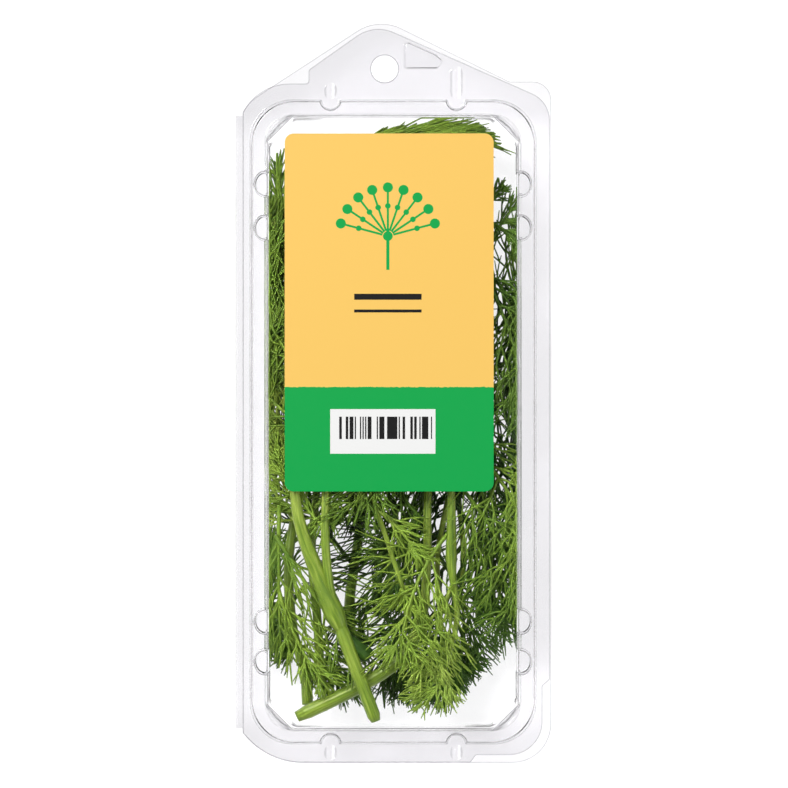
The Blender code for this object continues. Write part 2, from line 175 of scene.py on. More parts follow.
def pieceFrom(name, bm, finish, body=None, nodes=(), smooth=True):
    bmesh.ops.scale(bm, vec=(mm, mm, mm), verts=bm.verts)
    for face in bm.faces:  # a level face stays flat, so that the sheet's flat parts show no dents
        heights = [vert.co.z for vert in face.verts]
        face.smooth = smooth and max(heights) - min(heights) >= weld * mm
    mesh = bpy.data.meshes.new(name)
    bm.to_mesh(mesh)
    bm.free()
    mesh.materials.append(finish.material)
    piece = placed(name, mesh)
    if body:
        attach(piece, body)
    if nodes:
        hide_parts(*nodes)
    return piece


def settle(piece, sharpAngle):  # applies the modifiers, and marks the edges that are really sharp
    mesh = meshOf(piece)
    piece.modifiers.clear()
    piece.data = mesh
    mesh.set_sharp_from_angle(angle=math.radians(sharpAngle))


def firstRing(bm, places):
    verts = [bm.verts.new(place) for place in places]
    for before, vert in zip(verts[-1:] + verts, verts):
        bm.edges.new((before, vert))
    return verts


def ringEdges(bm, ring):
    return [bm.edges.get((before, vert)) for before, vert in zip(ring[-1:] + ring, ring)]


def capped(bm, ring):
    bmesh.ops.contextual_create(bm, geom=ringEdges(bm, ring))


def filled(bm, edges):
    bmesh.ops.triangle_fill(bm, edges=edges, use_beauty=True)


def nextRing(bm, ring, places):  # extrudes a ring and moves the new one to its places
    made = bmesh.ops.extrude_edge_only(bm, edges=ringEdges(bm, ring))["geom"]
    fresh = {each for each in made if isinstance(each, bmesh.types.BMVert)}
    moved = []
    for vert, place in zip(ring, places):
        partner = next(
            edge.other_vert(vert) for edge in vert.link_edges if edge.other_vert(vert) in fresh
        )
        partner.co = place
        moved.append(partner)
    return moved


def quarterTurn(steps):  # (cos, sin) pairs from 0 to 90 degrees
    turns = [math.pi / 2 * step / steps for step in range(steps + 1)]
    return [(math.cos(turn), math.sin(turn)) for turn in turns]


def arcPoints(before, corner, after, radius, steps):
    toBefore = (before - corner).normalized()
    toAfter = (after - corner).normalized()
    half = toBefore.angle(toAfter) / 2
    centre = corner + (toBefore + toAfter).normalized() * (radius / math.sin(half))
    first = corner + toBefore * (radius / math.tan(half)) - centre
    last = corner + toAfter * (radius / math.tan(half)) - centre
    sweep = math.atan2(first.x * last.y - first.y * last.x, first.dot(last))
    return [centre + Matrix.Rotation(sweep * step / steps, 2) @ first for step in range(steps + 1)]


def roundedOutline(corners, steps=10):  # each corner is its x, its y and its radius
    places = [Vector(corner[:2]) for corner in corners]
    points = []
    for place, (_, _, radius) in enumerate(corners):
        if radius == 0:
            points.append(places[place])
            continue
        after = places[(place + 1) % len(places)]
        points += arcPoints(places[place - 1], places[place], after, radius, steps if radius > 1 else 3)
    return points


def ringRound(centre, radius, steps, height):
    ring = []
    for step in range(steps):
        turn = math.tau * step / steps
        ring.append((centre[0] + radius * math.cos(turn), centre[1] + radius * math.sin(turn), height))
    return ring


def insetBy(points, distance):  # a closed outline, moved inward by a distance
    moved = []
    for before, point, after in zip(points[-1:] + points, points, points[1:] + points[:1]):
        along = (after - before).normalized()
        moved.append(point + Vector((-along.y, along.x)) * distance)
    return moved


def lifted(points, height):
    return [(point.x, point.y, height) for point in points]


# Camera, floor and light

stageSetup = {
    "photoPixels": 788,
    "mmPerPixel": 0.27,
    "photoMiddle": (0.135, -0.16),
    "cameraHeight": 1100.0,
    "sensor": 36.0,
    "floorSize": 6.0,       # in metres
    "floorZ": -0.15,        # a little under the pack, so that they don't touch
    "floorColour": (0.25, 0.25, 0.25),
    "floorRoughness": 0.9,
    "floorGlow": 0.86,      # a light table, so that the shadows stay pale
    "skyStops": (           # the sky's brightness from the horizon to overhead, where the camera is
        (0.0, (0.75, 0.75, 0.76)),
        (0.2, (0.95, 0.95, 0.96)),
        (0.45, (0.6, 0.6, 0.6)),
        (0.7, (0.2, 0.2, 0.2)),
        (0.9, (0.015, 0.015, 0.015)),
    ),
    "skyStrength": 1.0,
    "lamps": {              # place, size and power of each soft box, in metres and watts
        "key": ((-0.5, 0.45, 0.9), (0.35, 0.35), 8.2),
        "fill": ((0.75, -0.2, 0.7), (0.5, 0.9), 3.0),
    },
}


def makeStage():
    setup = stageSetup
    view = bpy.data.cameras.new("camera")
    view.sensor_width = setup["sensor"]
    distance = setup["cameraHeight"] - partingZ
    view.lens = setup["sensor"] * distance / (setup["photoPixels"] * setup["mmPerPixel"])
    camera = placed("camera", view)
    camera.location = Vector((*setup["photoMiddle"], setup["cameraHeight"])) * mm
    bpy.context.scene.camera = camera

    bm = bmesh.new()
    bmesh.ops.create_grid(bm, x_segments=1, y_segments=1, size=setup["floorSize"] / 2 / mm)
    bmesh.ops.translate(bm, verts=bm.verts, vec=(0, 0, setup["floorZ"]))
    glowing = Finish("floor", setup["floorColour"], setup["floorRoughness"], **{
        "Emission Color": (1.0, 1.0, 1.0), "Emission Strength": setup["floorGlow"],
    })
    pieceFrom("floor", bm, glowing)

    world = bpy.data.worlds.new("studio")
    world.use_nodes = True
    bpy.context.scene.world = world
    sky = Nodes(world.node_tree)
    upward = sky.split(sky.add("TexCoord", output="Generated"))[2]
    colour = sky.add("ValToRGB", {"stops": setup["skyStops"]}, {0: upward})
    sky.fill(sky.tree.nodes["Background"], {"Color": colour, "Strength": setup["skyStrength"]})
    bpy.context.scene.view_settings.view_transform = "Standard"

    for name, (place, size, power) in setup["lamps"].items():
        lamp = bpy.data.lights.new(name, "AREA")
        lamp.shape = "RECTANGLE"
        lamp.size = size[0]
        lamp.size_y = size[1]
        lamp.energy = power
        holder = placed(name, lamp)
        holder.location = place
        holder.rotation_euler = (-Vector(place)).to_track_quat("-Z", "Y").to_euler()


makeStage()
print("stage ready")


# The two formed halves

pack = {
    "sheet": 0.34,
    "drawnShare": 0.55,     # how thick the drawn walls are, beside the flange
    "flangeReach": 3.0,     # how far above and below it the sheet is as thick as the flange
    "flangeGap": 0.24,
    "topZ": 24.5,
    "terraceRise": 2.0,
    "rimX": (-38.7, 38.5),
    "rimY": (-94.6, 79.2),
    "rimCorner": 11.5,
    "rimDraft": 0.45,
    "pocketX": (-34.6, 34.3),
    "pocketY": (-91.0, 75.2),
    "pocketCorner": 8.0,
    "faceCorner": 7.0,
    "wallDraft": 0.8,
    "browRadius": 0.9,
    "edgeWidth": 0.3,
    "bend": 0.4,            # radius of the formed bends
    "margin": 0.15,         # width of the flat band beside a bend
    "footBend": 0.35,
    "footMargin": 0.05,
    "lugs": (-72.4, -61.5, 44.7, 56.5),
    "lugRadius": 3.4,
    "lugRise": 3.3,
    "lugReach": 0.86,
    "notches": (-17.0, 17.0),
    "notchRadius": 2.5,
    "ribEnds": (82.2, 86.6),    # how far up the two top ribs go, each beside its notch
    "ribGap": 1.9,
    "ribFoot": 2.7,
    "ribRadius": 1.6,
    "ribHeight": 0.95,
    "hole": (-2.4, 87.6),
    "holeRadius": 3.65,
    "arcSteps": 12,
    "lobeSteps": 12,
    "holeSteps": 48,
    "ribTurns": 10,
    "ribRings": 8,
    "sharpAngle": 50.0,
    "tint": (0.945, 0.94, 0.952),
    "endTint": (0.885, 0.88, 0.893),        # of the flange at the pack's two ends
    "endReach": (76.0, 84.0),               # where that begins and is full, from the middle
    "drawnTint": (0.985, 0.985, 0.987),     # of the walls and faces, where the sheet is thinner
    "drawnReach": (6.2, 8.0),               # where that begins and is full, from the flange
    # painted shade: the grey of the dark lines that light makes at the cut edges, the ribs' sides and the
    # panel's slopes
    "edgeShade": (0.5, 0.49, 0.52),
    "shadowTint": (0.985, 0.98, 0.99),
}
hingeSideX = -40.7
trayOutline = (
    (hingeSideX, -91.6, 0.0),
    (-33.8, -99.8, 20.5),
    (42.6, -99.8, 10.5),
    (42.6, 84.2, 5.0),
    (31.3, 84.2, 1.2),
    (-4.1, 101.6, 12.0),
    (-39.0, 78.8, 12.5),
    (hingeSideX, 75.8, 0.0),
)
lidOutline = (
    (hingeSideX, -91.6, 0.0),
    (-33.8, -99.6, 20.0),
    (20.8, -99.6, 0.8),
    (22.2, -97.6, 0.8),
    (40.2, -97.6, 9.0),
    (40.2, -79.0, 0.8),
    (42.2, -77.2, 0.8),
    (42.2, 78.8, 8.0),
    (-5.2, 99.8, 10.0),
    (-22.9, 87.3, 0.8),
    (-22.9, 83.6, 0.8),
    (-36.4, 83.6, 14.0),
    (hingeSideX, 75.8, 0.0),
)
tabPanel = ((2.6, 95.6, 1.0), (11.6, 91.6, 1.2), (13.8, 89.7, 1.0), (12.2, 87.4, 1.2), (2.6, 87.4, 0.9))
panelRings = (  # each ring's share of the panel's outline, and its height
    (0.97, 0.06), (0.94, 0.3), (0.91, 0.52), (0.87, 0.6), (0.84, 0.6),
)


def sideStations(centres, radius, steps):  # where a side's points go, as each lobe's centre and angle
    return [(centre, math.pi * (1 - step / steps)) for centre in centres for step in range(steps + 1)]


# Points round a rounded rectangle: the lugs swell its long sides, and the notches dent its short ones.
# A lug or a notch is given as its radius and its depth as a share of that. A cut of 1 straightens the
# corners.
def packRing(xRange, yRange, corner, inset, height, cut=0.0, lug=None, notch=None):
    lug = lug or (pack["lugRadius"], 0.0)
    notch = notch or (pack["notchRadius"], 0.0)
    lowX, highX = xRange[0] + inset, xRange[1] - inset
    lowY, highY = yRange[0] + inset, yRange[1] - inset
    corners = [Vector(place) for place in ((lowX, lowY), (highX, lowY), (highX, highY), (lowX, highY))]
    ring = []
    for side in range(4):
        after = corners[(side + 1) % 4]
        arc = arcPoints(corners[side - 1], corners[side], after, corner, pack["arcSteps"])
        chord = [arc[0].lerp(arc[-1], step / pack["arcSteps"]) for step in range(pack["arcSteps"] + 1)]
        ring += [here.lerp(there, cut) for here, there in zip(arc, chord)]
        isLong = side % 2 == 1
        centres = pack["lugs"] if isLong else pack["notches"]
        radius, depth = lug if isLong else notch
        stations = sideStations(centres, radius, pack["lobeSteps"])
        if side >= 2:
            stations = stations[::-1]
        along = after - corners[side]
        outward = Vector((along.y, -along.x)).normalized()
        for centre, angle in stations:
            spot = centre + radius * math.cos(angle)
            point = Vector((corners[side].x, spot)) if isLong else Vector((spot, corners[side].y))
            if depth and 0 < angle < math.pi:
                swell = radius * math.sin(angle) * depth
                point += outward * (inset + max(swell, -inset) if isLong else inset - max(swell, inset))
            ring.append(point)
    return lifted(ring, height)


def formedHalf(outline, side, flangeZ, faceZ):  # side is 1 for the upper half and -1 for the lower one
    bm = bmesh.new()
    bend = pack["bend"]
    margin = pack["margin"]
    terraceZ = flangeZ + side * pack["terraceRise"]
    rim = (pack["rimX"], pack["rimY"], pack["rimCorner"])
    pocket = (pack["pocketX"], pack["pocketY"], pack["pocketCorner"])
    face = (pack["pocketX"], pack["pocketY"], pack["faceCorner"])
    notch = pack["notchRadius"]
    lug = pack["lugRadius"]
    reach = pack["lugReach"]
    curve = quarterTurn(4)

    # the rim, from the flange up to the terrace
    rings = [packRing(*rim, -bend - margin, flangeZ, notch=(notch - bend - margin, 1))]
    for cosine, sine in curve:
        inset = -bend * (1 - sine)
        rings.append(packRing(*rim, inset, flangeZ + side * bend * (1 - cosine), notch=(notch + inset, 1)))
    for cosine, sine in curve:
        inset = pack["rimDraft"] + bend * (1 - cosine)
        rings.append(packRing(*rim, inset, terraceZ - side * bend * (1 - sine), notch=(notch + inset / 2, 1)))

    # the terrace, then the foot of the pocket with its lugs
    foot = pack["footBend"]
    flat = pack["footMargin"]
    rings.append(packRing(*pocket, -foot - flat, terraceZ, lug=(lug + foot + flat, reach)))
    for cosine, sine in quarterTurn(3):
        inset = -foot * (1 - sine)
        height = terraceZ + side * foot * (1 - cosine)
        rings.append(packRing(*pocket, inset, height, lug=(lug - inset, reach)))
    lugTop = pack["lugRise"]
    wallHeight = abs(faceZ - terraceZ) - pack["browRadius"]
    slope = pack["wallDraft"] / wallHeight
    for cosine, sine in curve:
        rise = lugTop - bend * (1 - sine)
        rings.append(packRing(
            *pocket, slope * rise, terraceZ + side * rise, cut=rise / wallHeight,
            lug=(lug - bend * (1 - cosine), reach)))
    rings.append(packRing(
        *pocket, slope * lugTop, terraceZ + side * (lugTop + 0.01), cut=lugTop / wallHeight,
        lug=(lug - bend, 0)))

    # the wall, the brow and the flat face
    brow = pack["browRadius"]
    for cosine, sine in quarterTurn(6):
        inset = pack["wallDraft"] + brow * (1 - cosine)
        rings.append(packRing(*face, inset, faceZ - side * brow * (1 - sine), cut=1.0))
    rings.append(packRing(*face, pack["wallDraft"] + brow + margin, faceZ, cut=1.0))
    rimFoot = firstRing(bm, rings[0])
    ring = rimFoot
    for places in rings[1:]:
        ring = nextRing(bm, ring, places)
    filled(bm, ringEdges(bm, ring))

    # the flange round it, with the hang hole, the ribs and the tab's panel
    edges = ringEdges(bm, rimFoot)
    edgeTone = bm.verts.layers.float.new("edgeTone")    # painted shade where it is 1, and a painted highlight where it is -1
    border = roundedOutline(outline)
    edge = firstRing(bm, lifted(border, flangeZ))
    edges += ringEdges(bm, nextRing(bm, edge, lifted(insetBy(border, pack["edgeWidth"]), flangeZ)))
    hole = firstRing(bm, ringRound(pack["hole"], pack["holeRadius"], pack["holeSteps"], flangeZ))
    wider = ringRound(pack["hole"], pack["holeRadius"] + pack["edgeWidth"], pack["holeSteps"], flangeZ)
    edges += ringEdges(bm, nextRing(bm, hole, wider))
    # painted shade along the cut edges of the outline and of the hang hole
    for vert in edge + hole:
        vert[edgeTone] = 1.0
    low, high = pack["rimY"]
    for x, ribEnd in zip(pack["notches"], pack["ribEnds"]):
        edges += raisedRib(bm, (x, high + pack["ribGap"]), (x, ribEnd), flangeZ, side)
        edges += raisedRib(bm, (x, low - pack["ribGap"]), (x, low - pack["ribFoot"]), flangeZ, side)
    if side > 0:
        edges += raisedPanel(bm, tabPanel, flangeZ, side)
    filled(bm, edges)
    bmesh.ops.recalc_face_normals(bm, faces=bm.faces)
    top = max(bm.faces, key=lambda each: side * each.calc_center_median().z)
    if top.normal.z * side < 0:
        bmesh.ops.reverse_faces(bm, faces=bm.faces)
    return bm


def raisedRib(bm, start, end, flangeZ, side):  # a low domed rib, as rings that close in
    start, end = Vector(start), Vector(end)
    along = (end - start).normalized()
    across = Vector((-along.y, along.x))
    radius = pack["ribRadius"]
    turns = [math.pi * step / pack["ribTurns"] for step in range(pack["ribTurns"] + 1)]

    def ringAt(reach, height):
        near = [start + (across * math.cos(turn) - along * math.sin(turn)) * reach for turn in turns]
        far = [end + (along * math.sin(turn) - across * math.cos(turn)) * reach for turn in turns]
        return lifted(near + far, flangeZ + side * height)

    base = firstRing(bm, ringAt(radius + pack["margin"], 0.0))
    ring = base
    edgeTone = bm.verts.layers.float["edgeTone"]
    for step in range(pack["ribRings"] + 1):
        share = 1 - step / pack["ribRings"]
        height = 0.03 + pack["ribHeight"] * (1 - share * share)
        ring = nextRing(bm, ring, ringAt(max(radius * share, 0.04), height))
        for vert in ring:  # a painted highlight on its right flank, and painted shade along its two sides
            off = (vert.co.x - start.x) / radius
            vert[edgeTone] = -1.0 if 0.3 < off < 0.7 else 0.3 * (abs(off) > 0.8)
    filled(bm, ringEdges(bm, ring))
    return ringEdges(bm, base)


def raisedPanel(bm, corners, flangeZ, side):
    centre = sum((Vector(corner[:2]) for corner in corners), Vector((0, 0))) / len(corners)
    outline = roundedOutline(corners, 6)

    def ringAt(share, height):
        return lifted([centre + (point - centre) * share for point in outline], flangeZ + side * height)

    base = firstRing(bm, ringAt(1.0, 0.0))
    ring = base
    edgeTone = bm.verts.layers.float["edgeTone"]
    for share, height in panelRings:
        ring = nextRing(bm, ring, ringAt(share, height))
        for vert in ring:
            # painted shade on the panel's slopes, more on its outer rings
            vert[edgeTone] = 0.3 if share > 0.88 else 0.1
    filled(bm, ringEdges(bm, ring))
    return ringEdges(bm, base)


def clearSheetFinish():
    finish = Finish("clear_sheet", (1.0, 1.0, 1.0), 0.01, **{"IOR": 1.3, "Transmission Weight": 1.0})
    _, along, height = finish.split(finish.places())
    drawn = finish.between(abs(height - partingZ), pack["drawnReach"])
    atEnds = finish.between(abs(along - middleY), pack["endReach"])
    flat = finish.mix(atEnds, pack["tint"], pack["endTint"])
    tint = finish.mix(drawn, flat, pack["drawnTint"])
    # painted shade darkens the marked edges, and a painted highlight whitens each rib's right flank
    edge = finish.add("Attribute", {"attribute_name": "edgeTone"}, output=2)
    dark = finish.mix(edge, tint, pack["edgeShade"])
    finish.fill(finish.shader, {"Base Color": finish.mix(edge * -1, dark, (1.0, 1.0, 1.0))})
    finish.bump(finish.noise(0.12), 0.15, 0.02)

    # light for the shadows goes straight through the sheet
    through = finish.add("BsdfTransparent", {}, {"Color": pack["shadowTint"]})
    surface = finish.add("MixShader", {}, {
        0: finish.add("LightPath", output="Is Shadow Ray"),
        1: Signal(finish, finish.shader.outputs[0]),
        2: through,
    })
    finish.fill(finish.tree.nodes["Material Output"], {"Surface": surface})
    return finish


def makePack():
    clear = clearSheetFinish()
    lift = pack["flangeGap"] / 2 + pack["sheet"]
    halves = (
        ("tray", trayOutline, -1, partingZ - lift, 0.0),
        ("lid", lidOutline, 1, partingZ + lift, pack["topZ"]),
    )
    for body, outline, side, flangeZ, faceZ in halves:
        bm = formedHalf(outline, side, flangeZ, faceZ)
        shell = pieceFrom(f"{body}_sheet", bm, clear, body, [body])
        level = flangeZ * mm
        reach = pack["flangeReach"] * mm
        thick = [vert.index for vert in shell.data.vertices if abs(vert.co.z - level) < reach]
        shell.vertex_groups.new(name="flange").add(thick, 1.0, "REPLACE")
        wall = shell.modifiers.new("wall", "SOLIDIFY")
        wall.thickness = pack["sheet"] * mm
        wall.offset = -1
        wall.use_even_offset = True
        wall.vertex_group = "flange"
        wall.thickness_vertex_group = pack["drawnShare"]
        settle(shell, pack["sharpAngle"])
    return clear


clear = makePack()
print("pack halves ready")


# The living hinge, one thin strip that bends between the halves

hinge = {
    "axisX": -41.85,
    "edgeX": -40.75,
    "reach": 0.62,
    "y": (-90.4, 74.9),
    "thickness": 0.22,
    "steps": 16,
    "sharpAngle": 40.0,
}


def makeHinge():
    bm = bmesh.new()
    half = pack["flangeGap"] / 2 + pack["sheet"] / 2
    thin = hinge["thickness"] / 2

    def foldLine(offset):
        line = [(hinge["edgeX"], -half - offset)]
        for step in range(hinge["steps"] + 1):
            turn = math.pi * step / hinge["steps"]
            reach = hinge["reach"] + offset
            line.append((hinge["axisX"] - reach * math.sin(turn), -math.cos(turn) * (half + offset)))
        line.append((hinge["edgeX"], half + offset))
        return line

    section = foldLine(thin) + foldLine(-thin)[::-1]
    rings = [[(x, y, partingZ + z) for x, z in section] for y in hinge["y"]]
    ring = firstRing(bm, rings[0])
    capped(bm, ring)
    ring = nextRing(bm, ring, rings[1])
    capped(bm, ring)
    bmesh.ops.recalc_face_normals(bm, faces=bm.faces)
    web = pieceFrom("living_hinge", bm, clear, None, ["tray"])
    settle(web, hinge["sharpAngle"])
    low = (hinge["axisX"] * mm, 0, (partingZ - half) * mm)
    high = (hinge["axisX"] * mm, 0, (partingZ + half) * mm)
    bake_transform(web, "tray", "lid", start=low, end=high)


makeHinge()
print("hinge ready")


# The label

label = {
    "x": (-29.05, 26.75),
    "y": (-26.2, 69.4),
    "z": (24.52, 24.7),
    "corner": 2.4,
    "cornerSteps": 12,
    "bevel": 0.04,
    "border": 1.7,          # where the upper field meets the lower one
    "upper": (0.99, 0.62, 0.145),
    "lower": (0.006, 0.41, 0.078),
    "ink": (0.012, 0.012, 0.012),
    "panel": (0.93, 0.93, 0.92),
    "paper": (0.6, 0.59, 0.565),    # its back, which shows when the lid is open
    "panelX": (-16.9, 11.2),
    "panelY": (-16.1, -4.2),
    "barsX": (-14.5, 10.3),
    "barsY": (-12.2, -6.2),
    "barsPerMm": 2.9,
    "sprayFoot": (-1.5, 42.0),
    "sprayReach": 13.0,
    "sprayRays": 9,
    "spraySpread": 150.0,
    "rayGirth": 0.28,
    "rayStart": 1.5,
    "dotRadius": 1.35,
    "smallDotRadius": 0.75,
    "smallDotShare": 0.62,
    "footRadius": 1.3,
    "stalkGirth": 0.42,
    "stalkY": (-9.0, 2.0),
    "ruleReach": 9.0,
    "rules": ((25.0, 26.6), (21.6, 22.4)),
}


def labelFinish():
    finish = Finish("printed_label", label["upper"], 0.42, **{"Specular IOR Level": 0.25})
    x, y, height = finish.split(finish.places())

    def within(value, limits):
        return (value > limits[0]) * (value < limits[1])

    def disc(first, second, radius):
        return (first * first + second * second) < radius * radius

    wobble = finish.noise(1.4, 3.0) * 0.5 - 0.25
    colour = finish.mix(y < wobble + label["border"], label["upper"], label["lower"])

    # a spray of rays with a dot on each, as a plain ornament
    fromX = x - label["sprayFoot"][0]
    fromY = y - label["sprayFoot"][1]
    reach = finish.math("SQRT", fromX * fromX + fromY * fromY)
    angle = finish.math("ARCTAN2", fromX, fromY)
    spread = math.radians(label["spraySpread"])
    step = spread / (label["sprayRays"] - 1)
    offRay = angle - finish.math("ROUND", angle / step) * step
    across = reach * finish.math("SINE", offRay)
    along = reach * finish.math("COSINE", offRay)
    inFan = abs(angle) < spread / 2 + step / 2
    ray = (abs(across) < label["rayGirth"]) * within(along, (label["rayStart"], label["sprayReach"]))
    dot = disc(across, along - label["sprayReach"], label["dotRadius"])
    smallDot = disc(across, along - label["sprayReach"] * label["smallDotShare"], label["smallDotRadius"])
    stalk = (abs(fromX) < label["stalkGirth"]) * within(fromY, label["stalkY"])
    foot = reach < label["footRadius"]
    green = finish.math("MINIMUM", inFan * (ray + dot + smallDot) + stalk + foot, 1.0)
    colour = finish.mix(green, colour, label["lower"])

    # two plain dark rules under it
    first, second = label["rules"]
    rules = (abs(fromX) < label["ruleReach"]) * (within(y, first) + within(y, second))
    colour = finish.mix(rules, colour, label["ink"])

    # the white panel with its bars, which have no meaning
    panel = within(x, label["panelX"]) * within(y, label["panelY"])
    colour = finish.mix(panel, colour, label["panel"])
    column = finish.math("FLOOR", x * label["barsPerMm"]) + 0.37
    stripes = finish.add("TexWhiteNoise", {"noise_dimensions": "1D"}, {"W": column})
    bars = (stripes > 0.5) * within(x, label["barsX"]) * within(y, label["barsY"])
    colour = finish.mix(bars, colour, label["ink"])
    colour = finish.mix(height < sum(label["z"]) / 2, colour, label["paper"])
    finish.fill(finish.shader, {"Base Color": colour, "Roughness": finish.noise(0.6) * 0.12 + 0.36})
    finish.bump(finish.noise(2.2, 4.0), 0.12, 0.05)
    return finish


def makeLabel():
    bm = bmesh.new()
    corners = [(label["x"][right], label["y"][top], label["corner"]) for right, top in (
        (0, 0), (1, 0), (1, 1), (0, 1),
    )]
    low, high = label["z"]
    bevel = label["bevel"]
    outline = roundedOutline(corners, label["cornerSteps"])
    ring = firstRing(bm, lifted(outline, low))
    capped(bm, ring)
    ring = nextRing(bm, ring, lifted(outline, high - bevel))
    inner = [(x * (1 - bevel / 30), y - math.copysign(bevel, y), corner) for x, y, corner in corners]
    ring = nextRing(bm, ring, lifted(roundedOutline(inner, label["cornerSteps"]), high))
    capped(bm, ring)
    bmesh.ops.recalc_face_normals(bm, faces=bm.faces)
    pieceFrom("front_label", bm, labelFinish(), "lid", ["label"], smooth=False)


makeLabel()
print("label ready")


# The dill: nine sprigs, on the same routes as the solids

leafShape = {
    "bend": 30.0,           # how far a midrib bends back towards its stem's heading
    "bendVaried": (0.2, 1.7),
    "bare": 0.2,            # share of the midrib below its first ribs
    "leafy": 0.97,          # and the share where its ribs end
    "ribShare": 0.46,
    "ribTaper": 0.6,
    "ribAngle": 42.0,
    "ribBend": (-16, 42),
    "ribShift": 0.045,
    "threadAt": (0.3, 0.65),        # share of the stalk where threads begin, and over which they spread
    "threadShare": 0.78,
    "threadTaper": (1.15, 0.5),
    "threadAngle": 34.0,
    "threadBend": (-10, 45),
    "threadShift": 0.05,
    "tipShare": 0.3,        # length of the threads on the midrib itself, as a share of the leaf's
    "forkShare": 0.62,
    "forkAt": (0.3, 0.55),
    "forkAngle": (24, 42),
    "forkBend": (0, 30),
    "midribSteps": 8,
    "ribSteps": 6,
    "threadSteps": 4,
    "forkSteps": 3,
    "lift": 0.3,            # how far a strand may rise or sink from its root
    "drift": 0.4,           # and how far more along its way
    "varied": (0.7, 1.3),
    "midribGirth": (0.6, 0.3),      # radius at the root and at the tip
    "ribGirth": (0.38, 0.2),
    "threadGirth": (0.29, 0.13),
    "forkGirth": (0.25, 0.12),
    "toneVaried": 0.12,
    "depthShade": 0.02,      # painted shade: how much paler a leaf is for each mm further up, as the lower leaves lie in shade
}
foliage = {                 # how far the leaves reach from the pocket's middle, along x and y together
    "reachRight": 95.0,
    "reachLeft": 99.0,
    "ragged": 5.0,
    "raggedVaried": (-0.2, 1.0),
    "topY": 68.6,
    "bottomY": -87.0,
    "clearance": 0.4,       # between a strand and the pocket's wall
}

